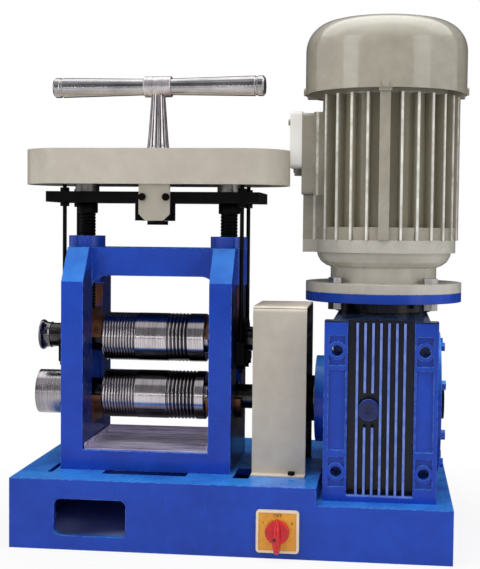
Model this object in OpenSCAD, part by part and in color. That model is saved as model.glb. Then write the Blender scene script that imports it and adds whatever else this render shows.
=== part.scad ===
// Electric rolling mill: a motor and worm gearbox drive two grooved rolls, and a T-handle sets the gap.
// Millimetres. X to the motor side, -Y to the front, Z up. Origin under the middle of the base.

/* [Base] */
// Length of the base
base_len = 512; // [470:1:560]
// Depth of the base, front to back
base_dep = 310; // [290:1:340]
// Height of the deck that carries the mill
base_h = 82; // [75:0.5:90]
// Height of the lower deck that carries the gearbox
step_h = 62; // [55:0.5:68]
// Where the deck steps down
step_x = 102; // [99:0.5:104]
// Wall of the base
base_wall = 8; // [5:0.5:12]
// Width of the hand hole in the front wall
hand_w = 85; // [60:1:100]
// Height of the hand hole
hand_h = 43; // [30:1:48]
// Side of the square switch plate
plate_w = 49; // [42:0.5:52]

/* [Mill housing] */
// Middle of the mill, along the base
mill_x = -107.5; // [-114:0.5:-106]
// Roll axis, front to back
roll_y = -22; // [-26:0.5:-18]
// Space between the cheeks
bay_w = 153; // [145:1:160]
// Thickness of a cheek
cheek_t = 27; // [25:0.5:30]
// Depth of the housing
housing_dep = 146; // [140:1:156]
// Height of the housing over the deck
housing_h = 268; // [264:1:276]
// Thickness of the sole
sole_h = 24; // [18:0.5:26]
// Width of the bearing window in each cheek
window_w = 54; // [52:1:62]
// Height of the metal above the window
head_h = 45; // [40:0.5:50]
// Height of the top cross beam
beam_h = 35; // [28:0.5:38]
// Depth of the top cross beam
beam_dep = 60; // [52:1:70]

/* [Rolls] */
// Diameter of the rolls
roll_d = 60; // [58:0.5:62]
// Gap between the rolls as they stand
roll_gap = 12; // [10:0.5:13]
// Diameter of the bearing necks
neck_d = 38; // [34:0.5:42]
// Diameter of the roll ends outside the bearings
end_d = 30; // [26:0.5:32]
// Bronze under or over a neck axis
brass_h = 35; // [32:0.5:38]
// Width of the roll pinions
pinion_w = 36; // [30:0.5:38]

/* [Screw-down] */
// Diameter of the screws
screw_d = 21.5; // [20:0.5:23]
// Teeth of each screw gear
screw_teeth = 48; // [46:1:50]
// Thickness of the cross plate
plate_t = 13; // [10:0.5:16]
// Underside of the cross plate over the housing
plate_lift = 55; // [50:0.5:60]
// Length of the gear cover
cover_len = 330; // [316:1:340]
// Depth of the gear cover
cover_dep = 116; // [114:1:124]
// Height of the gear cover
cover_h = 43; // [38:0.5:48]
// Wall of the gear cover
cover_wall = 3; // [2:0.5:4]
// Length of the T-bar
bar_len = 268; // [240:1:290]
// Diameter of the T-bar at its ends
bar_d = 25; // [22:0.5:28]
// Height of the T-bar's axis over the gear cover
bar_lift = 79; // [70:0.5:90]
// Angle at which the T-bar is left standing
bar_turn = -3; // [-90:1:90]
// Diameter of the hanger rods
rod_d = 5; // [4:0.5:7]

/* [Gear guard] */
// Left edge of the guard
guard_x = 21; // [18:0.5:23]
// Width of the guard
guard_w = 64; // [62:0.5:66]
// Roll axis to the guard's front
guard_front = 66; // [62:1:70]
// Roll axis to the guard's back
guard_back = 48; // [46:1:52]
// Room in the guard over the upper pinion
guard_room = 4.5; // [4:0.25:5]
// Sheet of the guard
guard_t = 2; // [1.5:0.25:3]

/* [Gearbox] */
// Gearbox middle, along the base
box_x = 172.5; // [170:0.5:176]
// Width over the foot pads
box_w = 130; // [126:0.5:132]
// Output axis to either end of the case
box_half = 104; // [102:0.5:108]
// Foot face to output axis
foot_dist = 103; // [100:0.5:106]
// Output axis to the back of the case
back_dist = 135; // [130:0.5:140]
// Foot hole spacing across
foot_span_x = 100; // [96:0.5:104]
// Foot hole spacing up and down
foot_span_z = 140; // [134:0.5:142]
// Foot hole diameter
foot_hole_d = 13; // [11:0.5:14]
// Output bore
shaft_d = 35; // [32:0.5:36]
// Diameter of the input flange
flange_d = 200; // [190:1:205]
// Output axis to the face of the input flange
flange_dist = 129.5; // [127:0.5:132]

/* [Motor] */
// Diameter over the cooling fins
motor_d = 189; // [184:1:194]
// Depth of the cooling fins
fin_h = 14; // [10:0.5:16]
// Number of fin places round the frame
fin_count = 28; // [24:4:32]
// Length of the finned frame
frame_len = 181; // [165:1:195]
// Diameter of the fan cowl
cowl_d = 206; // [200:1:210]
// Height of the fan cowl
cowl_h = 93; // [86:1:105]
// Motor shaft diameter
motor_shaft_d = 24; // [22:0.5:24]

/* [Hidden] */
$fn = 48;
fit = 0.05;                                   // radial clearance of a seated piece
run = 0.06;                                   // radial clearance of a running fit
slide = 0.3;                                  // clearance of a sliding block
end_play = 0.1;                               // clearance of a shoulder
eps = 0.01;

// Colours
mill_blue = [0.10, 0.20, 0.62];
cream = [0.78, 0.76, 0.70];
motor_grey = [0.66, 0.64, 0.58];
steel = [0.70, 0.70, 0.71];
dark_steel = [0.10, 0.10, 0.11];
bronze = [0.72, 0.50, 0.28];

// Axes and levels
roll_z = step_h + box_half;                   // lower roll, coaxial with the gearbox output
upper_z = roll_z + roll_d + roll_gap;
cheek_off = (bay_w + cheek_t) / 2;            // mill middle to a cheek's middle
housing_half = bay_w / 2 + cheek_t;
housing_top = base_h + housing_h;
front_y = roll_y - housing_dep / 2;
back_y = roll_y + housing_dep / 2;
bevel_run = 30;
bevel_rise = 41;
window_low = roll_z - brass_h;
window_high = housing_top - head_h;
boss_d = screw_d + 24;
nut_d = screw_d + 11;

// Rolls
brass_in = 11;                                // bronze collar, from the cheek to the barrel
brass_out = 6;                                // lower bronze collar, outside the cheek
barrel_gap = 1.5;
barrel_len = bay_w - 2 * (brass_in + barrel_gap);
hanger_gap = 1.5;
hanger_t = 10;
hanger_half = 42;                             // roll axis to a hanger's edge
rod_y = 33;                                   // roll axis to a rod, front or back
rod_x = housing_half + hanger_gap + hanger_t / 2;
right_x = mill_x + housing_half;
left_x = mill_x - housing_half;
pinion_x = guard_x + 6;
pinion_end = pinion_x + pinion_w;
pinion_teeth = 10;
pinion_mid = roll_d / 2;
pinion_tip = pinion_mid + 8.5;
pinion_root = pinion_mid - 8.8;

// Screw-down gears
handle_teeth = 42;
gear_module = 2 * cheek_off / (screw_teeth + handle_teeth);
gear_t = 24;
gear_hub_d = 30;
plate_z = housing_top + plate_lift;
plate_top = plate_z + plate_t;
gear_z = plate_top + 12;
cover_z = plate_top + 9;
cover_top = cover_z + cover_h;
collar_h = 13;
journal_d = screw_d - 4;
handle_shaft_d = 20;
block_w = 36;
block_h = 38;
bar_axis_z = cover_top + bar_lift;

// Gearbox and motor
case_w = box_w - 18;
boss_face = 71;                               // gearbox middle to the right cover's face
left_face = 79;                               // gearbox middle to the left boss face
sleeve_proud = 1;
sleeve_d = shaft_d + 15;
wheel_teeth = 60;
worm_module = 2.5;
worm_r = 15;                                  // pitch radius of the worm
worm_dist = worm_r + worm_module * wheel_teeth / 2;
wheel_w = 30;
flange_z = roll_z + flange_dist;
flange_t = 12;
bolt_circle = 165;
flange_bolt_d = 11;
flange_hole_d = flange_bolt_d + 2 * fit;
motor_bearing_d = 52;
motor_y = roll_y + worm_dist;
shield_top = flange_z + 50;
frame_z = flange_z + 66;
frame_top = frame_z + frame_len;
cowl_z = frame_top + 4;
cowl_wall = 2.5;
frame_r = motor_d / 2 - fin_h;                // frame barrel under the fins
bore_r = frame_r - 8;

// Shared shapes

// Box between two corners
module span(low, high) {
    translate(low) cube(high - low);
}

// Cylinder along X from x0 to x1 at y, z
module bar_x(d, x0, x1, y, z) {
    translate([x0, y, z]) rotate([0, 90, 0]) cylinder(d = d, h = x1 - x0);
}

// Cylinder along Y from y0 to y1 at x, z
module bar_y(d, y0, y1, x, z) {
    translate([x, y0, z]) rotate([-90, 0, 0]) cylinder(d = d, h = y1 - y0);
}

// Cylinder along Z from z0 to z1 at x, y
module bar_z(d, z0, z1, x, y) {
    translate([x, y, z0]) cylinder(d = d, h = z1 - z0);
}

// Rectangle centred on the origin with round corners
module soft_rect(w, h, r) {
    square([w - 2 * r, h], center = true);
    square([w, h - 2 * r], center = true);
    for (sx = [-1, 1], sy = [-1, 1])
        translate([sx * (w / 2 - r), sy * (h / 2 - r)]) circle(r);
}

// Hexagon prism standing on z = 0
module hex(af, h) {
    rotate(30) cylinder(d = af / cos(30), h = h, $fn = 6);
}

// Outline of a spur gear with straight-flanked teeth, one tooth along +X
module spur_outline(teeth, mod, slack) {
    pr = teeth * mod / 2;
    half = PI * mod / 4 - slack;
    root = pr - 1.2 * mod;
    tip = pr + mod;
    gain = tan(20) * mod;
    polygon([for (k = [0 : teeth - 1], p = [[root, -half - gain], [tip, -half + gain],
        [tip, half - gain], [root, half + gain]]) spin(p, k * 360 / teeth)]);
}

// A point turned about the origin
function spin(p, a) = [p[0] * cos(a) - p[1] * sin(a), p[0] * sin(a) + p[1] * cos(a)];

// Base and switch

hand_x = 96 - base_len / 2;                  // middle of the hand hole
hand_z = 38;
switch_x = 59;
switch_z = 32;
switch_neck_d = 20;
rib_w = 40;
foot_bolt_d = 8;
slot_front = -base_dep / 2 + 41;

// Front and back walls follow the step of the decks
module base_outline() {
    polygon([[-base_len / 2, 0], [base_len / 2, 0], [base_len / 2, step_h], [step_x, step_h],
        [step_x, base_h], [-base_len / 2, base_h]]);
}

module base_frame() {
    wall_y = base_dep / 2 - base_wall;
    color(mill_blue) difference() {
        union() {
            for (y = [-wall_y, base_dep / 2])
                translate([0, y, 0]) rotate([90, 0, 0]) linear_extrude(base_wall) base_outline();
            span([-base_len / 2, -base_dep / 2, 0], [base_wall - base_len / 2, base_dep / 2, base_h]);
            span([base_len / 2 - base_wall, -base_dep / 2, 0], [base_len / 2, base_dep / 2, step_h]);
            span([-rib_w / 2, -base_dep / 2, 0], [rib_w / 2, base_dep / 2, base_wall]);
        }
        span([hand_x - hand_w / 2, -base_dep / 2 - 1, hand_z - hand_h / 2],
            [hand_x + hand_w / 2, -wall_y + 1, hand_z + hand_h / 2]);
        bar_y(switch_neck_d, -base_dep / 2 - 1, -wall_y + 1, switch_x, switch_z);
    }
}

// Both decks and the riser between them, welded in between the walls
module base_deck() {
    wall_x = base_len / 2 - base_wall;
    wall_y = base_dep / 2 - base_wall;
    under = base_h - base_wall - 1;
    color(mill_blue) difference() {
        union() {
            span([-wall_x, -wall_y, base_h - base_wall], [step_x, wall_y, base_h]);
            span([step_x - base_wall, -wall_y, step_h - base_wall], [step_x, wall_y, base_h]);
            span([step_x - base_wall, -wall_y, step_h - base_wall], [wall_x, wall_y, step_h]);
        }
        // slots in front of the sole and outside each cheek
        span([mill_x - 48, slot_front, under], [mill_x + 53, front_y + 12, base_h + 1]);
        span([left_x - 11, slot_front, under], [left_x - 5, front_y + 55, base_h + 1]);
        span([right_x + 5, slot_front, under], [guard_x - 1, front_y + 40, base_h + 1]);
        for (p = foot_places()) bar_z(foot_bolt_d + 1, under, base_h + 1, p[0], p[1]);
        for (y = guard_screw_places)
            bar_z(guard_screw_d + 2 * fit, under, base_h + 1, guard_screw_x, y);
    }
}

function foot_places() = [for (sx = [-1, 1], sy = [-1, 1])
    [mill_x + sx * cheek_off, roll_y + sy * (housing_dep / 2 - 16)]];

module switch_body() {
    color(dark_steel) {
        span([switch_x - 21, -base_dep / 2 + base_wall, switch_z - 21],
            [switch_x + 21, -base_dep / 2 + base_wall + 46, switch_z + 21]);
        bar_y(switch_neck_d - 2 * fit, -base_dep / 2 + eps, -base_dep / 2 + base_wall, switch_x, switch_z);
    }
}

plate_proud = 4;
knob_d = 28;
knob_shaft_d = 8;

module switch_plate() {
    color([0.92, 0.72, 0.20]) difference() {
        translate([switch_x, -base_dep / 2, switch_z]) rotate([90, 0, 0]) union() {
            linear_extrude(plate_proud) difference() {
                soft_rect(plate_w, plate_w, 4);
                soft_rect(plate_w - 6, plate_w - 6, 2);
            }
            linear_extrude(plate_proud - 1) soft_rect(plate_w - 5, plate_w - 5, 2);
        }
        bar_y(knob_shaft_d + 2 * run, -base_dep / 2 - 20, -base_dep / 2 + 1, switch_x, switch_z);
    }
}

module switch_knob() {
    front = -base_dep / 2 - plate_proud;
    color([0.78, 0.05, 0.08]) {
        bar_y(knob_d, front - 6, front - slide, switch_x, switch_z);
        bar_y(knob_shaft_d, front - 1, -base_dep / 2, switch_x, switch_z);
        // lever, longer and tapered at the pointer's far end
        translate([switch_x, front - slide, switch_z]) rotate([90, 0, 0]) linear_extrude(18)
            polygon([[-5, 12], [-3, 16], [3, 16], [5, 12], [5, -13], [2.5, -23], [-2.5, -23], [-5, -13]]);
    }
}

// Mill housing

module cheek_outline() {
    polygon([[front_y, base_h], [back_y, base_h], [back_y, housing_top - bevel_rise],
        [back_y - bevel_run, housing_top], [front_y + bevel_run, housing_top],
        [front_y, housing_top - bevel_rise]]);
}

// Concave corner under the cross beam, for the side s
module beam_corner(s) {
    r = 16;
    low = housing_top - beam_h - r;
    translate([mill_x + s * (bay_w / 2), roll_y, low]) difference() {
        span([s > 0 ? -r : -1, -beam_dep / 2, 0], [s > 0 ? 1 : r, beam_dep / 2, r + 1]);
        bar_y(2 * r, -beam_dep, beam_dep, -s * r, 0);
    }
}

module mill_housing() {
    color(mill_blue) difference() {
        union() {
            for (s = [-1, 1])
                translate([mill_x + s * cheek_off - cheek_t / 2, 0, 0])
                    rotate([90, 0, 90]) linear_extrude(cheek_t) cheek_outline();
            span([left_x + 1, front_y, base_h], [right_x - 1, back_y, base_h + sole_h]);
            span([left_x + 1, roll_y - beam_dep / 2, housing_top - beam_h],
                [right_x - 1, roll_y + beam_dep / 2, housing_top]);
            for (s = [-1, 1]) {
                beam_corner(s);
                bar_z(boss_d, window_high, housing_top, mill_x + s * cheek_off, roll_y);
            }
        }
        span([left_x - 20, roll_y - window_w / 2, window_low],
            [right_x + 20, roll_y + window_w / 2, window_high]);
        for (s = [-1, 1])
            bar_z(nut_d, window_high - 1, housing_top + 1, mill_x + s * cheek_off, roll_y);
        for (p = foot_places()) bar_z(foot_bolt_d + 2 * fit, base_h - 1, base_h + 20, p[0], p[1]);
    }
}

module foot_bolts() {
    color(steel) for (p = foot_places()) translate([p[0], p[1], base_h - base_wall]) {
        translate([0, 0, -6]) hex(13, 6);
        translate([0, 0, -1]) cylinder(d = foot_bolt_d, h = base_wall + 19);
    }
}

tray_t = 2;

module catch_tray() {
    half_x = bay_w / 2 - 1;
    half_y = housing_dep / 2 - 4;
    color(steel) translate([mill_x, roll_y, base_h + sole_h]) difference() {
        span([-half_x, -half_y, 0], [half_x, half_y, 8]);
        span([-half_x + tray_t, -half_y - 1, tray_t], [half_x - tray_t, half_y - tray_t, 9]);
    }
}

// Bronze half-bearing for the side s: up = 1 sits over the neck, up = -1 under it
module brass(s, up) {
    z = up > 0 ? upper_z : roll_z;
    w = window_w - 2 * slide;
    in_face = mill_x + s * (bay_w / 2 - brass_in);
    out_face = mill_x + s * (housing_half + (up > 0 ? 0 : brass_out));
    cheek_in = mill_x + s * bay_w / 2;
    cheek_out = mill_x + s * housing_half;
    low = up > 0 ? z : z - brass_h;
    color(bronze) difference() {
        union() {
            span([min(cheek_in, cheek_out), roll_y - w / 2, low],
                [max(cheek_in, cheek_out), roll_y + w / 2, low + brass_h]);
            // half-round collars on either side of the cheek
            intersection() {
                bar_x(w, min(in_face, out_face), max(in_face, out_face), roll_y, z);
                span([left_x - 20, roll_y - w, low], [right_x + 20, roll_y + w, low + brass_h]);
            }
        }
        bar_x(neck_d + 2 * run, mill_x - 2 * housing_half, mill_x + 2 * housing_half, roll_y, z);
    }
}

module lower_brasses() {
    for (s = [-1, 1]) brass(s, -1);
}

module upper_brasses() {
    for (s = [-1, 1]) brass(s, 1);
}

// Flanged nuts of the two screws
module screw_nuts() {
    color(mill_blue) for (s = [-1, 1]) difference() {
        union() {
            bar_z(nut_d - 2 * fit, window_high + 2, housing_top + 1, mill_x + s * cheek_off, roll_y);
            bar_z(boss_d, housing_top, housing_top + 14, mill_x + s * cheek_off, roll_y);
        }
        bar_z(screw_d + 2 * run, window_high - 1, housing_top + 20, mill_x + s * cheek_off, roll_y);
    }
}

// Gear guard

guard_lip = 14;
guard_top = upper_z + pinion_tip + guard_room + guard_t;
guard_dep = guard_front + guard_back;
guard_mid = roll_y + (guard_back - guard_front) / 2;
guard_screw_d = 5;
guard_screw_x = guard_x + guard_w - 16;
guard_screw_places = [roll_y - guard_front - guard_lip / 2, roll_y + guard_back + guard_lip / 2];

// Folded sheet, open to the mill and to the gearbox
module gear_guard() {
    r = 8;
    right = guard_x + guard_w;
    color(cream) difference() {
        union() {
            translate([right, 0, 0]) rotate([90, 0, -90]) linear_extrude(guard_w) guard_outline(0, r);
            span([guard_x, roll_y - guard_front - guard_lip, base_h],
                [right, roll_y + guard_back + guard_lip, base_h + guard_t]);
        }
        translate([right + 1, 0, 0]) rotate([90, 0, -90])
            linear_extrude(guard_w + 2) guard_outline(guard_t, r - guard_t);
        // back corner notched round the input flange
        bar_z(flange_d + 4, flange_z - flange_t - 1, flange_z + flange_t, box_x, motor_y);
        for (y = guard_screw_places)
            bar_z(guard_screw_d + 2 * fit, base_h - 1, base_h + guard_t + 1, guard_screw_x, y);
    }
}

// Side outline of the guard, round at both top edges; extruding it along -X mirrors Y
module guard_outline(inset, r) {
    w = guard_dep - 2 * inset;
    low = base_h - (inset > 0 ? 1 : 0);
    high = guard_top - inset;
    translate([-guard_mid, 0]) {
        translate([-w / 2, low]) square([w, high - low - r]);
        translate([-w / 2 + r, low]) square([w - 2 * r, high - low]);
        for (s = [-1, 1]) translate([s * (w / 2 - r), high - r]) circle(r);
    }
}

module guard_screws() {
    color(dark_steel) for (y = guard_screw_places) {
        bar_z(guard_screw_d, base_h - base_wall + 1, base_h + guard_t + 1, guard_screw_x, y);
        translate([guard_screw_x, y, base_h + guard_t]) hex(8, 4);
    }
}

// Screw-down

module cross_plate() {
    left = mill_x - rod_x - 19;
    right = mill_x + rod_x + 23;
    color(dark_steel) difference() {
        span([left, block_front, plate_z], [right, roll_y + hanger_half, plate_top]);
        for (s = [-1, 1])
            bar_z(journal_d + 2 * run, plate_z - 1, plate_top + 1, mill_x + s * cheek_off, roll_y);
        bar_z(handle_shaft_d + 2 * run, plate_z - 1, plate_top + 1, mill_x, roll_y);
        for (p = rod_places()) bar_z(rod_d + 2 * fit, plate_z - 1, plate_top + 1, p[0], p[1]);
        bracket_bolts(bracket_screw_d + 2 * fit, block_front - 1, block_front + bracket_grip + 1);
    }
}

function rod_places() = [for (sx = [-1, 1], sy = [-1, 1]) [mill_x + sx * rod_x, roll_y + sy * rod_y]];

bracket_t = 4;
block_front = roll_y - cover_dep / 2 + cover_wall + bracket_t;
bracket_w = 38;
bracket_x = mill_x + 6;
bracket_screw_d = 5;
bracket_grip = 14;                            // bracket screws in the cross plate

// Cylinders at the bracket's two screws
module bracket_bolts(d, y0, y1) {
    for (s = [-1, 1]) bar_y(d, y0, y1, bracket_x + s * (bracket_w / 2 - 4.5), plate_z + plate_t / 2);
}

module centre_block() {
    color(dark_steel) difference() {
        span([mill_x - block_w / 2, block_front, plate_z - block_h + 16],
            [mill_x + block_w / 2, roll_y + 24, plate_z]);
        bar_z(handle_shaft_d + 2 * run, plate_z - block_h, plate_z + 1, mill_x, roll_y);
    }
}

module cover_outline(inset) {
    r = cover_dep / 2 - inset;
    square([cover_len - cover_dep, 2 * r], center = true);
    for (s = [-1, 1]) translate([s * (cover_len - cover_dep) / 2, 0]) circle(r, $fn = 96);
}

module gear_cover() {
    color(cream) difference() {
        translate([mill_x, roll_y, cover_z]) linear_extrude(cover_h) cover_outline(0);
        translate([mill_x, roll_y, cover_z - 1])
            linear_extrude(cover_h - cover_wall + 1) cover_outline(cover_wall);
        bar_z(stem_d + 2, cover_z, cover_top + 1, mill_x, roll_y);
    }
}

stem_d = 28;

module cover_bracket() {
    half = bracket_w / 2;
    low = plate_z - 22;
    high = cover_top - cover_wall - end_play;
    color(cream) difference() {
        translate([bracket_x, block_front, 0]) rotate([90, 0, 0]) linear_extrude(bracket_t)
            polygon([[-half, low + 8], [8 - half, low], [half - 8, low], [half, low + 8],
                [half, high], [-half, high]]);
        bracket_bolts(bracket_screw_d + 2 * fit, block_front - bracket_t - 1, block_front + 1);
    }
}

module bracket_screws() {
    front = block_front - bracket_t;
    color(dark_steel) {
        bracket_bolts(bracket_screw_d, front - 1, block_front + bracket_grip);
        bracket_bolts(9, front - 3, front);
    }
}

hanger_low = upper_z - 29;
hanger_high = upper_z + 12;

module hanger_rods() {
    color(dark_steel) for (p = rod_places()) bar_z(rod_d, hanger_low - 10, plate_top + 9, p[0], p[1]);
}

module hanger_nuts() {
    color(dark_steel) for (p = rod_places(), z = [plate_top, plate_z - 5, hanger_low - 5])
        translate([p[0], p[1], z]) difference() {
            hex(10, 5);
            translate([0, 0, -1]) cylinder(d = rod_d + 2 * fit, h = 7);
        }
}

// Hanger that carries the upper roll's end on the side s
module hanger(s) {
    x = mill_x + s * rod_x - hanger_t / 2;
    color(dark_steel) difference() {
        union() {
            span([x, roll_y - hanger_half, hanger_low],
                [x + hanger_t, roll_y + hanger_half, hanger_high - 14]);
            bar_x(52, x, x + hanger_t, roll_y, upper_z);
        }
        bar_x(end_d + 2 * run, x - 1, x + hanger_t + 1, roll_y, upper_z);
        for (sy = [-1, 1])
            bar_z(rod_d + 2 * fit, hanger_low - 1, hanger_high, x + hanger_t / 2, roll_y + sy * rod_y);
    }
}

module hangers() {
    for (s = [-1, 1]) hanger(s);
}

// Screw on the side s
module press_screw(s) {
    x = mill_x + s * cheek_off;
    color(dark_steel) {
        bar_z(screw_d, upper_z + brass_h + end_play, plate_z - end_play, x, roll_y);
        bar_z(screw_d + 5, plate_z - collar_h, plate_z - end_play, x, roll_y);
        bar_z(journal_d, plate_z - 1, gear_z + gear_t, x, roll_y);
    }
}

module screw_left() { press_screw(-1); }
module screw_right() { press_screw(1); }

// Gear on the side s, with a hub that runs on the cross plate
module screw_gear(s) {
    x = mill_x + s * cheek_off;
    color(steel) difference() {
        union() {
            translate([x, roll_y, gear_z]) rotate(s > 0 ? 180 : 0) linear_extrude(gear_t)
                spur_outline(screw_teeth, gear_module, 0.12);
            bar_z(gear_hub_d, plate_top + end_play, gear_z + 1, x, roll_y);
        }
        bar_z(journal_d + 2 * fit, plate_top - 1, gear_z + gear_t + 1, x, roll_y);
    }
}

module screw_gear_left() { screw_gear(-1); }
module screw_gear_right() { screw_gear(1); }

module handle_shaft() {
    color(steel) {
        bar_z(handle_shaft_d, plate_z - block_h + 17, cover_top + 30, mill_x, roll_y);
        bar_z(handle_shaft_d + 6, plate_z - block_h + 11, plate_z - block_h + 15.8, mill_x, roll_y);
        bar_z(handle_shaft_d - 4, plate_z - block_h + 15, plate_z - block_h + 18, mill_x, roll_y);
    }
}

module handle_pinion() {
    color(steel) difference() {
        union() {
            translate([mill_x, roll_y, gear_z]) rotate(180 / handle_teeth) linear_extrude(gear_t)
                spur_outline(handle_teeth, gear_module, 0.12);
            bar_z(gear_hub_d, plate_top + end_play, gear_z + 1, mill_x, roll_y);
        }
        bar_z(handle_shaft_d + 2 * fit, plate_top - 1, gear_z + gear_t + 1, mill_x, roll_y);
    }
}

flute_count = 12;

hub_d = 33;
arm_d = 20.5;                                 // an arm of the T-bar at the hub
arm_seat = 13;                                // hub axis to the seat of an arm
spigot_d = 12;
spigot_len = 8;

module handle_stem() {
    low = cover_top + 1;
    high = bar_axis_z - 15;
    color(steel) difference() {
        union() {
            translate([mill_x, roll_y, low]) cylinder(d1 = stem_d, d2 = stem_d - 10, h = high - low);
            bar_z(stem_d, low, low + 3, mill_x, roll_y);
            translate([mill_x, roll_y, bar_axis_z]) rotate_extrude() polygon([[0, -16], [stem_d / 2 - 5, -16],
                [hub_d / 2, -10], [hub_d / 2, 11], [hub_d / 2 - 3, 14], [0, 14]]);
        }
        translate([mill_x, roll_y, bar_axis_z]) rotate(bar_turn) for (a = [0, 180]) rotate(a) {
            bar_x(spigot_d + 2 * fit, arm_seat - spigot_len - 1, arm_seat + 1, 0, 0);
            bar_x(arm_d + 2 * fit, arm_seat, hub_d, 0, 0);
        }
        bar_z(handle_shaft_d + 2 * fit, low - 1, cover_top + 31, mill_x, roll_y);
        for (k = [0 : flute_count - 1]) translate([mill_x, roll_y, low + 4]) rotate(k * 360 / flute_count)
            translate([stem_d / 2 + 0.6, 0, 0]) rotate([0, -5.2, 0]) cylinder(d = 4, h = high - low - 9);
    }
}

// The two flared arms of the T-bar, each with a spigot in the hub
module handle_bar() {
    r = bar_d / 2;
    far = bar_len / 2;
    near = arm_seat - spigot_len;
    color(steel) translate([mill_x, roll_y, bar_axis_z]) rotate(bar_turn) for (s = [-1, 1])
        rotate([0, s * 90, 0]) rotate_extrude() polygon([[0, near], [spigot_d / 2, near],
            [spigot_d / 2, arm_seat], [arm_d / 2, arm_seat], [arm_d / 2, hub_d / 2 + 1], [r, far - 12],
            [r - 1, far - 11], [r - 1, far - 9], [r, far - 8], [r, far - 2], [r - 2, far], [0, far]]);
}

// Rolls

fine_count = 11;
fine_pitch = 3.6;
fine_depth = 1.2;
coarse_pitch = 4.6;

// Depth of coarse groove k, growing to the right
function coarse_depth(k) = 0.9 + 0.2 * k;

// Groove edges of a barrel, along its length from 0
function barrel_points(coarse) = concat(
    [for (k = [0 : fine_count - 1], p = [[0, 0.3], [-fine_depth, 1.7], [0, 3.1]])
        [roll_d / 2 + p[0], 2 + k * fine_pitch + p[1]]],
    [for (k = [0 : coarse - 1], p = [[0, 0.4], [-1, 1.4], [-1, 2.8], [0, 3.8]])
        [roll_d / 2 + p[0] * coarse_depth(k), barrel_len - 48 + k * coarse_pitch + p[1]]]);

// Roll with its necks: ends reach to x_left and x_right, with coarse grooves
module roll(z, x_left, x_right, left_d, coarse) {
    x0 = mill_x - barrel_len / 2;
    color(steel) {
        translate([x0, roll_y, z]) rotate([0, 90, 0]) rotate_extrude($fn = 96)
            polygon(concat([[0, 0], [roll_d / 2 - 1, 0], [roll_d / 2, 1]], barrel_points(coarse),
                [[roll_d / 2, barrel_len - 1], [roll_d / 2 - 1, barrel_len], [0, barrel_len]]));
        bar_x(neck_d, left_x - 0.5, right_x + 0.5, roll_y, z);
        bar_x(left_d, x_left, left_x, roll_y, z);
        bar_x(end_d, right_x, x_right, roll_y, z);
    }
}

upper_left = left_x - 45;
lower_left = left_x - 46;
ring_len = 37;
coupling_d = 56;
coupling_x = pinion_end + 2;
coupling_end = box_x - left_face - sleeve_proud - 2;
shaft_x = (coupling_x + coupling_end) / 2;

module upper_roll() { roll(upper_z, upper_left + 1, pinion_end + 1, end_d, 6); }
module lower_roll() { roll(roll_z, lower_left + 1, shaft_x - 0.5, end_d, 8); }

module upper_collar() {
    color(dark_steel) difference() {
        union() {
            bar_x(end_d + 8, upper_left, upper_left + 6, roll_y, upper_z);
            bar_x(end_d + 3, upper_left + 5, upper_left + 14, roll_y, upper_z);
        }
        bar_x(end_d + 2 * fit, upper_left + 1, upper_left + 20, roll_y, upper_z);
    }
}

module lower_ring() {
    color(steel) difference() {
        bar_x(55, lower_left, lower_left + ring_len, roll_y, roll_z);
        bar_x(end_d + 2 * fit, lower_left + 1, lower_left + ring_len + 1, roll_y, roll_z);
    }
}

// Outline of a roll pinion: long teeth that stay in mesh as the gap changes
module long_tooth_outline() {
    polygon([for (k = [0 : pinion_teeth - 1], p = [[pinion_root, -3], [pinion_mid, -3.4], [pinion_tip, -1],
        [pinion_tip, 1], [pinion_mid, 3.4], [pinion_root, 3]]) spin(p, k * 360 / pinion_teeth)]);
}

module roll_pinion(z, turn) {
    color(steel) difference() {
        translate([pinion_x, roll_y, z]) rotate([90, 0, 90]) rotate(turn) linear_extrude(pinion_w)
            long_tooth_outline();
        bar_x(end_d + 2 * fit, pinion_x - 1, pinion_end + 1, roll_y, z);
    }
}

module upper_pinion() { roll_pinion(upper_z, -90); }
module lower_pinion() { roll_pinion(roll_z, 90 + 180 / pinion_teeth); }

module roll_coupling() {
    color(dark_steel) difference() {
        bar_x(coupling_d, coupling_x, coupling_end, roll_y, roll_z);
        bar_x(end_d + 2 * fit, coupling_x - 1, shaft_x, roll_y, roll_z);
        bar_x(shaft_d + 2 * fit, shaft_x, coupling_end + 1, roll_y, roll_z);
    }
}

// Gearbox

module drive_shaft() {
    color(steel) bar_x(shaft_d, shaft_x + 0.5, box_x + boss_face + sleeve_proud, roll_y, roll_z);
}

module output_sleeve() {
    left = box_x - left_face - sleeve_proud;
    right = box_x + boss_face + sleeve_proud;
    color(steel) difference() {
        bar_x(sleeve_d, left, right, roll_y, roll_z);
        bar_x(shaft_d + 2 * fit, left - 1, right + 1, roll_y, roll_z);
    }
}

module shaft_cap() {
    face = box_x + boss_face + sleeve_proud;
    color(dark_steel) bar_x(sleeve_d - 8, face, face + 4, roll_y, roll_z);
}

module worm_wheel() {
    color(bronze) translate([box_x, roll_y, roll_z]) difference() {
        translate([-wheel_w / 2, 0, 0]) rotate([90, 0, 90]) linear_extrude(wheel_w)
            spur_outline(wheel_teeth, worm_module, 0.55);
        bar_x(sleeve_d + 2 * fit, -wheel_w, wheel_w, 0, 0);
    }
}

wheel_tip = worm_module * (wheel_teeth / 2 + 1);
cavity_r = wheel_tip + 4;
bearing_d = sleeve_d + 40;
worm_bearing_d = 60;
neck_od = 122;
left_boss_d = 106;
side_cover_d = 2 * cavity_r + 7;
side_cover_t = 8;
fin_places = 7;
fin_pitch = 9;
plug_x = -1.5 * fin_pitch;
plug_z = 2;
plug_d = 12;

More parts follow.
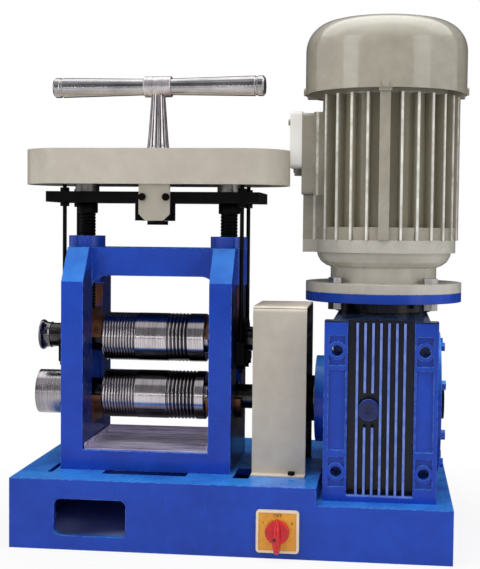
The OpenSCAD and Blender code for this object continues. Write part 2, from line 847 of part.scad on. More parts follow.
// A recessed pad round a foot hole, cut into the foot face
module pad_pocket(x, z) {
    difference() {
        span([x - 9.5, -foot_dist - 1, z - 17], [x + 9.5, -foot_dist + 4, z + 17]);
        bar_y(foot_hole_d + 8, -foot_dist - 2, -foot_dist + 5, x, z);
    }
}

module gearbox_case() {
    rail_w = 27;
    recess = 16;
    color(mill_blue) translate([box_x, roll_y, roll_z]) difference() {
        union() {
            // the case, with the ribbed foot face to the front
            translate([-case_w / 2, 0, 0]) rotate([90, 0, 90]) linear_extrude(case_w) case_outline();
            span([-box_w / 2, -foot_dist, -box_half], [box_w / 2, -foot_dist + 26, box_half]);
            bar_x(left_boss_d, -left_face, 0, 0, 0);
            bar_x(side_cover_d, 0, boss_face - side_cover_t - 1, 0, 0);
        }
        // fin bay between the rails
        difference() {
            span([-box_w / 2 + rail_w, -foot_dist - 1, -box_half + 8],
                [box_w / 2 - rail_w, -foot_dist + recess, box_half + 1]);
            difference() {
                for (k = [0 : fin_places - 1]) translate([(k - (fin_places - 1) / 2) * fin_pitch, 0, 0])
                    span([-1.4, -foot_dist, -box_half], [1.4, -foot_dist + recess + 1, box_half - 2]);
                // two fins stop short of the plug
                span([plug_x - fin_pitch + 2, -foot_dist - 1, plug_z - 20],
                    [plug_x + fin_pitch - 2, -foot_dist + recess + 2, plug_z + 20]);
            }
            bar_y(plug_d + 13, -foot_dist + 3, -foot_dist + recess + 1, plug_x, plug_z);
        }
        bar_y(plug_d + 2 * fit, -foot_dist - 1, -foot_dist + 26, plug_x, plug_z);
        for (sx = [-1, 1]) {
            for (sz = [-1, 1]) {
                pad_pocket(sx * foot_span_x / 2, sz * foot_span_z / 2);
                bar_y(foot_hole_d, -foot_dist - 1, -foot_dist + 27,
                    sx * foot_span_x / 2, sz * foot_span_z / 2);
            }
            // sunk panels of the rails, and relief behind the pads
            span([sx * foot_span_x / 2 - 10, -foot_dist - 1, -45],
                [sx * foot_span_x / 2 + 10, -foot_dist + 3, 48]);
            span([sx > 0 ? case_w / 2 : -box_w / 2 - 1, -foot_dist + 16, -box_half + 50],
                [sx > 0 ? box_w / 2 + 1 : -case_w / 2, -foot_dist + 27, box_half - 50]);
        }
        // wheel chamber, open to the cover on the right
        bar_x(2 * cavity_r, -wheel_w / 2 - 8, boss_face, 0, 0);
        bar_x(bearing_d, -wheel_w / 2 - 30, 0, 0, 0);
        bar_x(sleeve_d + 2, -left_face - 1, 0, 0, 0);
        // worm chamber, open to the input flange
        bar_z(worm_bearing_d, -box_half + 12, box_half + 1, 0, worm_dist);
    }
}

// Side outline of the case about the output axis, with round back corners
module case_outline() {
    translate([(back_dist - foot_dist) / 2, 0]) soft_rect(foot_dist + back_dist, 2 * box_half, 18);
}

module side_cover() {
    color(mill_blue) translate([box_x, roll_y, roll_z]) difference() {
        union() {
            bar_x(side_cover_d, boss_face - side_cover_t - 1, boss_face - 1, 0, 0);
            bar_x(2 * cavity_r - 2 * fit, boss_face - 22, boss_face - 8, 0, 0);
            bar_x(bearing_d + 16, wheel_w / 2 + 6, boss_face - 20, 0, 0);
        }
        bar_x(sleeve_d + 2, 0, boss_face, 0, 0);
        bar_x(bearing_d, 0, boss_face - 12, 0, 0);
    }
}

module cover_bolts() {
    color(steel) translate([box_x + boss_face - 1, roll_y, roll_z]) for (k = [0 : 7])
        rotate([k * 45 + 22.5, 0, 0]) translate([0, cavity_r - 6, 0]) rotate([0, 90, 0]) hex(10, 5);
}

module input_flange() {
    z = box_half;
    color(mill_blue) translate([box_x, motor_y, roll_z]) difference() {
        union() {
            bar_z(neck_od, z, flange_dist - flange_t + 1, 0, 0);
            bar_z(flange_d, flange_dist - flange_t, flange_dist, 0, 0);
        }
        bar_z(worm_head_d + 14, z - 1, flange_dist + 1, 0, 0);
        for (k = [0 : 3]) rotate(45 + 90 * k) bar_z(flange_hole_d, 0, flange_dist + 1, bolt_circle / 2, 0);
    }
}

module oil_plug() {
    color(mill_blue) translate([box_x + plug_x, roll_y, roll_z + plug_z]) difference() {
        union() {
            bar_y(plug_d, -foot_dist + 2, -foot_dist + 15, 0, 0);
            bar_y(plug_d + 10, -foot_dist - 1, -foot_dist + 3, 0, 0);
        }
        bar_y(plug_d - 3, -foot_dist - 2, -foot_dist + 1, 0, 0);
    }
}

worm_low_d = 22;
worm_head_d = 38;

// Ring of a bearing standing on z = 0
module bearing_ring(outer, inner, w) {
    difference() {
        cylinder(d = outer - 2 * fit, h = w);
        translate([0, 0, -1]) cylinder(d = inner + 2 * run, h = w + 2);
    }
}

module gearbox_bearings() {
    color(steel) {
        for (x = [-wheel_w / 2 - 29, wheel_w / 2 + 7])
            translate([box_x + x, roll_y, roll_z]) rotate([0, 90, 0]) bearing_ring(bearing_d, sleeve_d, 20);
        translate([box_x, motor_y, roll_z - box_half + 12]) bearing_ring(worm_bearing_d, worm_low_d, 18);
        translate([box_x, motor_y, roll_z + box_half - 24]) bearing_ring(worm_bearing_d, worm_head_d, 20);
    }
}

worm_len = 46;

// Radius of the worm's section at angle a: one thread whose flank runs with the angle
function worm_edge(a) = let (u = abs(((a + 180) % 360) - 180) / 360)
    worm_r + worm_module * (u < 0.13 ? 0.9 : u > 0.30 ? -1.2 : 0.9 - 2.1 * (u - 0.13) / 0.17);

module worm() {
    steps = 18;
    color(steel) translate([box_x, motor_y, roll_z]) difference() {
        union() {
            translate([0, 0, -worm_len / 2]) rotate(worm_phase)
                linear_extrude(worm_len, twist = -360 * worm_len / (PI * worm_module),
                    slices = 66, segments = steps)
                    polygon([for (k = [0 : steps - 1])
                        spin([worm_edge(k * 360 / steps), 0], k * 360 / steps)]);
            bar_z(worm_low_d, -box_half + 13, 1 - worm_len / 2, 0, 0);
            bar_z(worm_low_d, worm_len / 2 - 1, box_half - 50, 0, 0);
            bar_z(worm_head_d, box_half - 52, flange_dist - 22, 0, 0);
        }
        bar_z(motor_shaft_d + 2 * fit, box_half - 40, flange_dist, 0, 0);
    }
}

worm_phase = 90 - 180 * worm_len / (PI * worm_module);

// Motor

rail_proud = 8;
pad_inset = 5;                                // fin tips to the terminal pad's face
ear_h = 14;
cowl_screw_d = 5;
cowl_screw_z = frame_top + 9;

// Rails under the terminal box, between two levels
module side_rails(low, high) {
    for (y = [-34, -12, 10]) span([-motor_d / 2 - rail_proud, y, low], [-frame_r + 6, y + 14, high]);
}

// Half the thickness of fin k: every quarter carries a broad one
function fin_half(k) = k % (fin_count / 4) == 0 ? 6.5 : 1.5;

module motor_frame() {
    color(motor_grey) translate([box_x, motor_y, 0]) difference() {
        union() {
            bar_z(2 * frame_r, frame_z, frame_top, 0, 0);
            bar_z(motor_d - 6, frame_z, frame_z + 16, 0, 0);
            for (k = [0 : fin_count - 1]) if (abs(k - fin_count * 3 / 4) > 2.5)
                rotate(k * 360 / fin_count - 90)
                    span([frame_r - 2, -fin_half(k), frame_z], [motor_d / 2, fin_half(k), frame_top]);
            // terminal pad and the rails under it
            span([pad_inset - motor_d / 2, -term_w / 2, frame_z + 56],
                [-frame_r + 10, term_w / 2, frame_top - 20]);
            side_rails(frame_z, frame_z + 56);
        }
        bar_z(2 * bore_r, frame_z - 1, frame_top + 1, 0, 0);
    }
}

module flange_shield() {
    color(motor_grey) translate([box_x, motor_y, 0]) difference() {
        union() {
            side_rails(shield_top, frame_z);
            shield_body();
        }
        bar_z(motor_shaft_d + 2, flange_z - 1, frame_z + 7, 0, 0);
        bar_z(motor_bearing_d, frame_z - 12, frame_z + 7, 0, 0);
        for (k = [0 : 3]) rotate(45 + 90 * k)
            bar_z(flange_hole_d, flange_z - 1, flange_z + flange_t + 1, bolt_circle / 2, 0);
    }
}

// Turned body of the flange shield
module shield_body() {
    rotate_extrude($fn = 96) polygon([[0, flange_z],  [flange_d / 2, flange_z],
        [flange_d / 2, flange_z + flange_t], [68, flange_z + flange_t], [68, flange_z + 31],
        [74, flange_z + 33], [81, flange_z + 38], [85, flange_z + 45], [86, shield_top],
        [motor_d / 2 - 3, shield_top], [motor_d / 2 - 3, frame_z], [bore_r - fit, frame_z],
        [bore_r - fit, frame_z + 6], [0, frame_z + 6]]);
}

module rear_shield() {
    color(motor_grey) translate([box_x, motor_y, 0]) difference() {
        union() {
            bar_z(2 * frame_r, frame_top, frame_top + 10, 0, 0);
            bar_z(2 * bore_r - 2 * fit, frame_top - 6, frame_top + 1, 0, 0);
            // ears that carry the cowl
            intersection() {
                bar_z(cowl_d - 2 * cowl_wall - 2 * fit, frame_top, frame_top + ear_h, 0, 0);
                for (k = [0 : 3]) rotate(90 * k)
                    span([frame_r - 8, -8, frame_top], [cowl_d, 8, frame_top + ear_h]);
            }
        }
        bar_z(motor_shaft_d + 2, frame_top - 7, frame_top + 11, 0, 0);
        bar_z(motor_bearing_d, frame_top - 7, frame_top + 5, 0, 0);
        cowl_bolts(cowl_screw_d + 2 * fit, frame_r, cowl_d);
    }
}

// Cylinders at the cowl's four screws, between two radii
module cowl_bolts(d, near, far) {
    for (k = [0 : 3]) rotate(90 * k) bar_x(d, near, far, 0, cowl_screw_z);
}

module flange_bolts() {
    color(steel) translate([box_x, motor_y, 0]) for (k = [0 : 3]) rotate(45 + 90 * k)
        translate([bolt_circle / 2, 0, 0]) {
            translate([0, 0, flange_z + flange_t]) hex(17, 7);
            bar_z(flange_bolt_d, flange_z - flange_t - 2, flange_z + flange_t, 0, 0);
            translate([0, 0, flange_z - flange_t - 9]) hex(17, 9);
        }
}

rotor_r = bore_r - 26;
core_inset = 34;                              // frame's end to the stator and rotor cores

module stator() {
    color(dark_steel) translate([box_x, motor_y, 0]) difference() {
        bar_z(2 * bore_r - 2 * fit, frame_z + core_inset, frame_top - core_inset, 0, 0);
        bar_z(2 * rotor_r + 1, frame_z, frame_top, 0, 0);
    }
}

module motor_bearings() {
    color(steel) for (z = [frame_z - 12, frame_top - 10])
        translate([box_x, motor_y, z]) bearing_ring(motor_bearing_d, motor_shaft_d, 15);
}

module motor_rotor() {
    color(steel) translate([box_x, motor_y, 0]) {
        bar_z(motor_shaft_d, roll_z + box_half - 38, cowl_z + 60, 0, 0);
        bar_z(2 * rotor_r, frame_z + core_inset, frame_top - core_inset, 0, 0);
    }
}

module cooling_fan() {
    z = cowl_z + 34;
    r = cowl_d / 2 - 28;
    color(dark_steel) translate([box_x, motor_y, 0]) difference() {
        union() {
            bar_z(44, z, z + 24, 0, 0);
            bar_z(2 * r, z, z + 3, 0, 0);
            for (k = [0 : 6]) rotate(k * 360 / 7) span([18, -1.5, z], [r + 3, 1.5, z + 24]);
        }
        bar_z(motor_shaft_d + 2 * fit, z - 1, z + 25, 0, 0);
    }
}

cowl_round = 38;
cowl_top = cowl_z + cowl_h;

// Half section of the cowl, inset by its wall for the inside
module cowl_outline(inset) {
    r = cowl_d / 2 - inset;
    c = cowl_round - inset;
    low = cowl_z - (inset > 0 ? 1 : 0);
    square_top = cowl_top - inset;
    translate([0, low]) square([r, square_top - c - low]);
    translate([0, low]) square([r - c, square_top - low]);
    intersection() {
        translate([r - c, square_top - c]) circle(c, $fn = 64);
        translate([0, low]) square([r + 1, square_top - low]);
    }
}

module fan_cowl() {
    color(motor_grey) translate([box_x, motor_y, 0]) difference() {
        rotate_extrude($fn = 96) cowl_outline(0);
        rotate_extrude($fn = 96) cowl_outline(cowl_wall);
        // air inlet
        for (ring = [1 : 3], k = [0 : 6 * ring - 1]) rotate(k * 60 / ring)
            bar_z(11, cowl_top - cowl_round, cowl_top + 1, 18 * ring, 0);
        cowl_bolts(cowl_screw_d + 2 * fit, frame_r, cowl_d);
    }
}

// Terminal box on the left of the motor

term_x = box_x - motor_d / 2 + pad_inset;     // face of the frame's terminal pad
term_low = frame_z + 57;
term_high = frame_top - 21;
term_w = 84;
term_rim = 7;
term_body = 15;
term_lid = 15;
lid_low = term_low + 34;
lid_screw_d = 4;

module term_shell(x0, x1, low, high, w) {
    translate([x1, motor_y, (low + high) / 2]) rotate([0, -90, 0]) linear_extrude(x1 - x0)
        soft_rect(high - low, w, 5);
}

// Cylinders at the lid's four screws
module lid_bolts(d, x0, x1) {
    for (s = [-1, 1], z = [lid_low + 12, term_high - 12])
        bar_x(d, x0, x1, motor_y + s * (term_w - term_rim) / 2, z);
}

module terminal_box() {
    rim = term_x - term_body;
    color(motor_grey) difference() {
        term_shell(rim, term_x, term_low, term_high, term_w);
        term_shell(rim - 1, term_x - 4, term_low + 5, term_high - 5, term_w - 2 * term_rim);
        lid_bolts(lid_screw_d + 2 * fit, rim - 1, rim + 9);
    }
}

module terminal_lid() {
    rim = term_x - term_body;
    color(motor_grey) difference() {
        term_shell(rim - term_lid, rim, lid_low, term_high + 2, term_w);
        term_shell(rim - term_lid + 3, rim + 1, lid_low + 4, term_high - 3, term_w - 2 * term_rim);
        lid_bolts(lid_screw_d + 2 * fit, rim - term_lid - 1, rim + 1);
        bar_z(gland_d + 2 * fit, lid_low - 1, lid_low + 5, rim - term_lid / 2, motor_y);
    }
}

// Screws of the terminal lid and the fan cowl
module motor_screws() {
    face = term_x - term_body - term_lid;
    r = cowl_d / 2;
    color(dark_steel) {
        lid_bolts(lid_screw_d, face - 1, face + term_lid + 8);
        lid_bolts(8, face - 2.5, face);
        translate([box_x, motor_y, 0]) {
            cowl_bolts(cowl_screw_d, r - cowl_wall - 8, r + 1);
            cowl_bolts(10, r, r + 2.5);
        }
    }
}

gland_d = 9;

module cable_gland() {
    x = term_x - term_body - term_lid / 2;
    color(dark_steel) difference() {
        union() {
            bar_z(gland_d, lid_low - 1, lid_low + 6, x, motor_y);
            translate([x, motor_y, lid_low - 5]) hex(12, 5);
            bar_z(10, lid_low - 9, lid_low - 4, x, motor_y);
        }
        bar_z(6, lid_low - 10, lid_low + 7, x, motor_y);
    }
}

base_frame();
base_deck();
switch_body();
switch_plate();
switch_knob();
mill_housing();
foot_bolts();
catch_tray();
lower_brasses();
screw_nuts();
gear_guard();
guard_screws();
upper_brasses();
cross_plate();
centre_block();
gear_cover();
cover_bracket();
bracket_screws();
hanger_rods();
hanger_nuts();
hangers();
screw_left();
screw_gear_left();
screw_right();
screw_gear_right();
handle_shaft();
handle_pinion();
handle_stem();
handle_bar();
upper_roll();
upper_pinion();
upper_collar();
lower_roll();
lower_pinion();
lower_ring();
roll_coupling();
drive_shaft();
output_sleeve();
worm_wheel();
shaft_cap();
gearbox_case();
side_cover();
cover_bolts();
input_flange();
oil_plug();
gearbox_bearings();
motor_frame();
flange_shield();
rear_shield();
flange_bolts();
stator();
motor_bearings();
motor_rotor();
worm();
cooling_fan();
fan_cowl();
terminal_box();
terminal_lid();
motor_screws();
cable_gland();
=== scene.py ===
import bpy, bmesh, math
from mathutils import Matrix, Vector


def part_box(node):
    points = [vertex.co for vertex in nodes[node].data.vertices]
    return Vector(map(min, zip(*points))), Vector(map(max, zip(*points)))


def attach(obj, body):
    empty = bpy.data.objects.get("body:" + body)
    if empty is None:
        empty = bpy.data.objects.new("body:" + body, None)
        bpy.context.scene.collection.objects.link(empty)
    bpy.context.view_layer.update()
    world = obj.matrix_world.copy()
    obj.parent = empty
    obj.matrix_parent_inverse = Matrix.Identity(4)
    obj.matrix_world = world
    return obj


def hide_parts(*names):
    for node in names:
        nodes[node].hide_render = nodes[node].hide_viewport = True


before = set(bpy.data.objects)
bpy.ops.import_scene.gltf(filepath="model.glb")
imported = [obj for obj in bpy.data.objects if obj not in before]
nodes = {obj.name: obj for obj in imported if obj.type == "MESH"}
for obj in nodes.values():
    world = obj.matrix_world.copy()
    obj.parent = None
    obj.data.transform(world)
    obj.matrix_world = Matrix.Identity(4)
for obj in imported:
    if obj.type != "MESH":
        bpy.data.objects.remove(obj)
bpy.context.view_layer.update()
scene = bpy.context.scene
print("frame:", len(nodes), "nodes")


class Tap:  # one shader socket that takes part in sums
    def __init__(self, paint, socket):
        self.paint, self.socket = paint, socket

    def join(self, operation, other=None, swap=False):
        pair = {0: self} if other is None else {0: other, 1: self} if swap else {0: self, 1: other}
        return self.paint.node("ShaderNodeMath", {"operation": operation}, pair)

    def __add__(self, other): return self.join("ADD", other)
    def __radd__(self, other): return self.join("ADD", other, True)
    def __sub__(self, other): return self.join("SUBTRACT", other)
    def __rsub__(self, other): return self.join("SUBTRACT", other, True)
    def __mul__(self, other): return self.join("MULTIPLY", other)
    def __rmul__(self, other): return self.join("MULTIPLY", other, True)
    def __truediv__(self, other): return self.join("DIVIDE", other)
    def __rtruediv__(self, other): return self.join("DIVIDE", other, True)
    def __pow__(self, other): return self.join("POWER", other)
    def __gt__(self, other): return self.join("GREATER_THAN", other)
    def __lt__(self, other): return self.join("LESS_THAN", other)
    def __abs__(self): return self.join("ABSOLUTE")
    def atLeast(self, other): return self.join("MAXIMUM", other)
    def atMost(self, other): return self.join("MINIMUM", other)
    def clamped(self): return self.atLeast(0).atMost(1)


class Paint:  # the nodes of a material, or of the world, as they are mixed
    def __init__(self, owner):
        owner.use_nodes = True
        self.owner, self.tree = owner, owner.node_tree
        self.tree.nodes.clear()

    def node(self, kind, settings, sockets, out=0):
        made = self.tree.nodes.new(kind)
        for key, value in settings.items():
            if key == "stops":
                ramp = made.color_ramp.elements
                while len(ramp) < len(value):
                    ramp.new(0.5)
                for stop, (place, shade) in zip(ramp, value):
                    stop.position, stop.color = place, (shade, shade, shade, 1)
            else:
                setattr(made, key, value)
        for key, value in sockets.items():
            if isinstance(value, Tap):
                self.tree.links.new(value.socket, made.inputs[key])
            else:
                made.inputs[key].default_value = value
        return Tap(self, made.outputs[out])

    def place(self):
        return self.node("ShaderNodeTexCoord", {}, {}, "Object")

    def axes(self):
        split = self.node("ShaderNodeSeparateXYZ", {}, {0: self.place()})
        return [Tap(self, out) for out in split.socket.node.outputs]

    def noise(self, scale, detail=3.0, stretch=(1, 1, 1), rough=0.55):
        spot = self.node("ShaderNodeMapping", {}, {"Vector": self.place(), "Scale": stretch})
        return self.node("ShaderNodeTexNoise", {},
                         {"Vector": spot, "Scale": scale, "Detail": detail, "Roughness": rough})

    def ramp(self, value, *stops):
        return self.node("ShaderNodeValToRGB", {"stops": stops}, {0: value})

    def mix(self, mask, first, second):
        return self.node("ShaderNodeMix", {"data_type": "RGBA"}, {0: mask, 6: first, 7: second}, 2)

    def round(self, radius):
        return self.node("ShaderNodeBevel", {"samples": 6}, {"Radius": radius})

    def edge(self, soft):  # 1 on outer and inner edges
        face = self.node("ShaderNodeNewGeometry", {}, {}, "Normal")
        same = self.node("ShaderNodeVectorMath", {"operation": "DOT_PRODUCT"}, {0: soft, 1: face}, "Value")
        return self.ramp(1 - same, (0.02, 0), (0.16, 1))

    def facing(self, axis):  # how far a face looks along +X, +Y or +Z
        face = self.node("ShaderNodeNewGeometry", {}, {}, "Normal")
        split = self.node("ShaderNodeSeparateXYZ", {}, {0: face})
        return Tap(self, split.socket.node.outputs[axis])

    def between(self, value, low, high, soft):  # 1 from low to high, fading over soft on the inside
        return ((value - low) / soft).clamped() * ((high - value) / soft).clamped()

    def bump(self, height, strength, distance, normal):
        return self.node("ShaderNodeBump", {},
                         {"Height": height, "Strength": strength, "Distance": distance, "Normal": normal})

    def shaded(self, tone, shade):  # lays a piece's own wear, painted shade and painted highlights over its tone
        for mask, dirt in shade(self) if shade else []:
            tone = self.mix(mask, tone, dirt)
        return tone

    def seen(self):  # 1 for camera, glossy and transmission rays
        rays = self.node("ShaderNodeLightPath", {}, {}, "Is Camera Ray")
        outputs = rays.socket.node.outputs
        for kind in ("Is Glossy Ray", "Is Transmission Ray"):
            rays = rays.atLeast(Tap(self, outputs[kind]))
        return rays

    def done(self, sockets):
        self.close(self.node("ShaderNodeBsdfPrincipled", {}, sockets, "BSDF"))
        return self.owner

    def close(self, shader, kind="ShaderNodeOutputMaterial"):
        end = self.tree.nodes.new(kind)
        self.tree.links.new(shader.socket, end.inputs["Surface"])


def freshPaint(name):
    return Paint(bpy.data.materials.new(name))


def rgb(r, g, b):  # screen colour to the linear one
    return tuple(((c / 255 + 0.055) / 1.055) ** 2.4 if c > 10 else c / 3294.6 for c in (r, g, b)) + (1.0,)


mill = {"x": -0.1075, "y": -0.022, "lower": 0.166, "upper": 0.238}  # middle of the bay and the two roll axes
driveX = 0.1725  # middle of gearbox and motor
enamelSkin = {"cloud": 9, "cloudShare": 0.7, "mottle": 70, "mottleShare": 0.3, "topPatchScale": 22, "chip": 160, "fleck": 310,
              "patch": 14, "fleckShare": 0.5, "smear": 26, "runs": (1, 1, 0.35), "fine": 420, "fineShare": 0.5,
              "coarse": 130, "coatRough": 0.08, "bump": 0.16, "depth": 0.0006}


def enamel(name, tones, gloss, radius, grain, shade=None):
    c = enamelSkin
    p = freshPaint(name)
    soft = p.round(radius)
    clouds = p.noise(c["cloud"], 4) * c["cloudShare"] + p.noise(c["mottle"], 3) * c["mottleShare"]
    tone = p.mix(p.ramp(clouds, (0.34, 0), (0.66, 1)), tones["deep"], tones["base"])
    # upward faces move to the dust tone in patches: dust together with painted top light
    dust = p.ramp(p.facing(2), (0.15, 0), (0.8, 1)) * p.ramp(p.noise(c["topPatchScale"], 5), (0.28, 0.35), (0.62, 1))
    tone = p.mix(dust * tones["settles"], tone, tones["dust"])
    # edges lighter in patches: paint worn thin, together with a painted edge highlight
    chip = p.ramp(p.noise(c["chip"], 3), (0.40, 0), (0.60, 1))
    tone = p.mix(p.edge(soft) * chip * tones["worn"], tone, tones["thin"])
    fleck = p.ramp(p.noise(c["fleck"], 2), (0.70, 0), (0.76, 1))
    fleck = fleck * p.ramp(p.noise(c["patch"], 3), (0.50, 0), (0.62, 1))
    tone = p.shaded(p.mix(fleck * c["fleckShare"], tone, tones["thin"]), shade)
    smear = p.ramp(p.noise(c["smear"], 5, c["runs"]), (0.35, 0), (0.75, 1))
    skin = p.noise(c["fine"], 2) * c["fineShare"] + p.noise(c["coarse"], 2) * grain
    return p.done({"Base Color": tone, "Roughness": smear * gloss["spread"] + gloss["low"],
                   "Coat Weight": gloss["coat"], "Coat Roughness": c["coatRough"],
                   "Specular IOR Level": gloss["shine"], "Normal": p.bump(skin, c["bump"], c["depth"], soft)})


gearboxPaintedLight = {"bayHalf": 0.0378, "finTips": -0.1226, "bayBack": -0.085, "fade": 0.006, "low": 0.068, "top": 0.2685,
               "flange": 0.2838, "tipFace": -0.1246, "bayTone": rgb(6, 8, 28), "bayShare": 0.97,
               "topTone": rgb(6, 8, 22), "tipTone": rgb(136, 160, 232), "tipShare": 0.8}


def gearboxShade(p):  # painted shade between the fins and on the top under the flange, painted highlights on the fin tips
    c = gearboxPaintedLight
    x, y, z = p.axes()
    fins = (abs(x - driveX) < c["bayHalf"]) * (z > c["low"])
    bay = fins * p.between(y, c["finTips"], c["bayBack"], c["fade"])
    cap = (z > c["top"]) * (z < c["flange"]) * p.ramp(p.noise(40, 4), (0.2, 0.75), (0.6, 1))
    tips = fins * (y < c["tipFace"]) * p.ramp(p.noise(90, 4), (0.25, 0.35), (0.65, 1))
    return [(bay * c["bayShare"], c["bayTone"]), (cap, c["topTone"]), (tips * c["tipShare"], c["tipTone"])]


motorPaintedLight = {"y": 0.068, "broad": 0.008, "tips": 0.0925, "depth": 0.012, "curve": 0.7, "low": 0.362, "high": 0.543,
             "pad": -0.070, "tone": rgb(138, 131, 108), "share": 0.85, "tipFrom": 0.0932, "tipTo": 0.0960,
             "tipTone": rgb(246, 243, 232), "tipShare": 0.95}


def motorShade(p):  # painted shade deep between the cooling fins, painted highlights on the tips of the slim ones
    c = motorPaintedLight
    x, y, z = p.axes()
    dx, dy = x - driveX, y - c["y"]
    reach = (dx * dx + dy * dy) ** 0.5
    deep = ((c["tips"] - reach) / c["depth"]).clamped() ** c["curve"]
    deep = deep * (z > c["low"]) * (z < c["high"]) * (dx > c["pad"])
    tips = (reach > c["tipFrom"]) * (reach < c["tipTo"]) * (abs(dx) > c["broad"]) * (abs(dy) > c["broad"])
    tips = tips * p.ramp(p.noise(60, 4), (0.25, 0.3), (0.6, 1))
    return [(deep * c["share"], c["tone"]), (tips * c["tipShare"], c["tipTone"])]


housingWearAndShade = {"heights": (0.270, 0.306, 0.006), "walls": (0.075, 0.105, 0.002), "window": (-0.050, 0.006, 0.0004),
               "tone": rgb(132, 84, 54), "bay": 0.0768, "bayHeights": (0.107, 0.330, 0.012), "bayShare": 0.75,
               "bayTone": rgb(20, 26, 70), "right": -0.0046, "rightHeights": (0.07, 0.310, 0.02),
               "rightTone": rgb(10, 11, 22), "sideways": 0.9}


def housingShade(p):  # metal rubbed bare by the bearings, painted shade in the bay and in patches on the right face of the right cheek
    c = housingWearAndShade
    x, y, z = p.axes()
    off = abs(x - mill["x"])
    rub = p.between(z, *c["heights"]) * p.between(off, *c["walls"]) * p.between(y, *c["window"])
    inner = (off < c["bay"]) * (abs(p.facing(0)) > c["sideways"]) * p.between(z, *c["bayHeights"])
    outer = (x > c["right"]) * (p.facing(0) > c["sideways"]) * p.between(z, *c["rightHeights"])
    shadePatches = p.ramp(p.noise(30, 4), (0.2, 0.7), (0.6, 0.96))
    bare = p.ramp(p.noise(60, 4, (1, 1, 0.2)), (0.35, 0.2), (0.6, 1))
    return [(inner * c["bayShare"], c["bayTone"]), (outer * shadePatches, c["rightTone"]), (rub * bare, c["tone"])]


guardInsideShade = {"front": -0.0862, "back": 0.0242, "top": 0.2808, "tone": rgb(16, 15, 16)}


def guardShade(p):  # painted shade: the inside of the sheet is dark, in patches
    c = guardInsideShade
    x, y, z = p.axes()
    inside = (y > c["front"]) * (y < c["back"]) * (z < c["top"])
    return [(inside * p.ramp(p.noise(40, 4), (0.2, 0.8), (0.6, 1)), c["tone"])]


stemFlutes = {"count": 16, "from": 0.35, "top": 0.538, "share": 0.85, "tone": rgb(34, 30, 33)}


def stemShade(p):  # painted shade in the flutes of the handle stem
    c = stemFlutes
    x, y, z = p.axes()
    angle = (y - mill["y"]).join("ARCTAN2", x - mill["x"])
    flute = (angle * c["count"]).join("COSINE") > c["from"]
    return [(flute * (z < c["top"]) * c["share"], c["tone"])]


turnedSkin = {"rounding": 0.0005, "stain": 40, "cutShare": 0.6, "stainShare": 0.4, "bump": 0.12, "depth": 0.0004}
grainWays = {"ringsX": (1, 0.02, 0.02), "ringsZ": (0.02, 0.02, 1), "alongX": (0.02, 1, 1), "alongZ": (1, 1, 0.02)}
barrels = {"radius": 0.0299, "depth": 0.0011, "reach": 0.003, "half": 0.0635, "share": 0.9, "journals": 0.0665,
           "crown": 0.66, "crownFade": 0.25, "belly": -0.36, "bellyFade": 0.16, "darkening": rgb(16, 15, 16)}


def barrelOil(p):  # painted shade in the grooves and along crown and belly, and darker journals, on both rolls
    c = barrels
    x, y, z = p.axes()
    off, dy = abs(x - mill["x"]), y - mill["y"]
    masks = []
    for level in (mill["lower"], mill["upper"]):
        dz = z - level
        sunk = ((c["radius"] - (dy * dy + dz * dz) ** 0.5) / c["depth"]).clamped()
        masks.append(sunk * (off < c["half"]) * (abs(dz) < c["radius"] + c["reach"]) * c["share"])
    rise = p.facing(2)
    crown = ((rise - c["crown"]) / c["crownFade"]).clamped()
    belly = ((c["belly"] - rise) / c["bellyFade"]).clamped()
    stain = p.noise(turnedSkin["stain"], 4)
    masks.append(crown.atLeast(belly) * p.ramp(stain, (0.25, 0.82), (0.65, 0.98)))
    masks.append((off > c["journals"]) * p.ramp(stain, (0.25, 0.75), (0.65, 0.96)))
    return [(mask, c["darkening"]) for mask in masks]


def turnedSteel(name, dark, light, rough, lines, grain, shade=None):
    c = turnedSkin
    p = freshPaint(name)
    soft = p.round(c["rounding"])
    cut = p.noise(lines, 4, grainWays[grain])
    stain = p.noise(c["stain"], 4)
    worn = p.ramp(cut * c["cutShare"] + stain * c["stainShare"], (0.3, 0), (0.7, 1))
    tone = p.shaded(p.mix(worn, dark, light), shade)
    byLines, byStain, least = rough
    dull = cut * byLines + p.ramp(stain, (0.4, 0), (0.75, 1)) * byStain + least
    return p.done({"Base Color": tone, "Metallic": 1.0, "Roughness": dull,
                   "Normal": p.bump(cut, c["bump"], c["depth"], soft)})


blackSkin = {"rounding": 0.0008, "darkening": 55, "deep": rgb(2, 2, 3), "base": rgb(9, 8, 11), "thin": rgb(84, 82, 80),
             "wear": 240, "wearShare": 0.55, "spread": 0.3, "low": 0.3, "shine": 0.07, "grain": 300, "bump": 0.12,
             "depth": 0.0004}


def blackSteel(name):
    c = blackSkin
    p = freshPaint(name)
    soft = p.round(c["rounding"])
    # oily mottling of the black steel
    darkening = p.noise(c["darkening"], 5)
    tone = p.mix(p.ramp(darkening, (0.35, 0), (0.7, 1)), c["deep"], c["base"])
    bare = p.edge(soft) * p.ramp(p.noise(c["wear"], 3), (0.45, 0), (0.65, 1))
    tone = p.mix(bare * c["wearShare"], tone, c["thin"])
    return p.done({"Base Color": tone, "Metallic": 0.0, "Roughness": darkening * c["spread"] + c["low"],
                   "Specular IOR Level": c["shine"],
                   "Normal": p.bump(p.noise(c["grain"], 3), c["bump"], c["depth"], soft)})


bronzeSkin = {"rounding": 0.0006, "rub": 90, "stretch": (1, 0.15, 1), "deep": rgb(92, 58, 38),
              "base": rgb(156, 108, 74), "front": -0.9, "darkHeights": (0.262, 0.320, 0.008), "darkShare": 0.9,
              "darkening": rgb(18, 15, 14), "metal": 0.9, "spread": 0.3, "low": 0.28, "bump": 0.12, "depth": 0.0004}


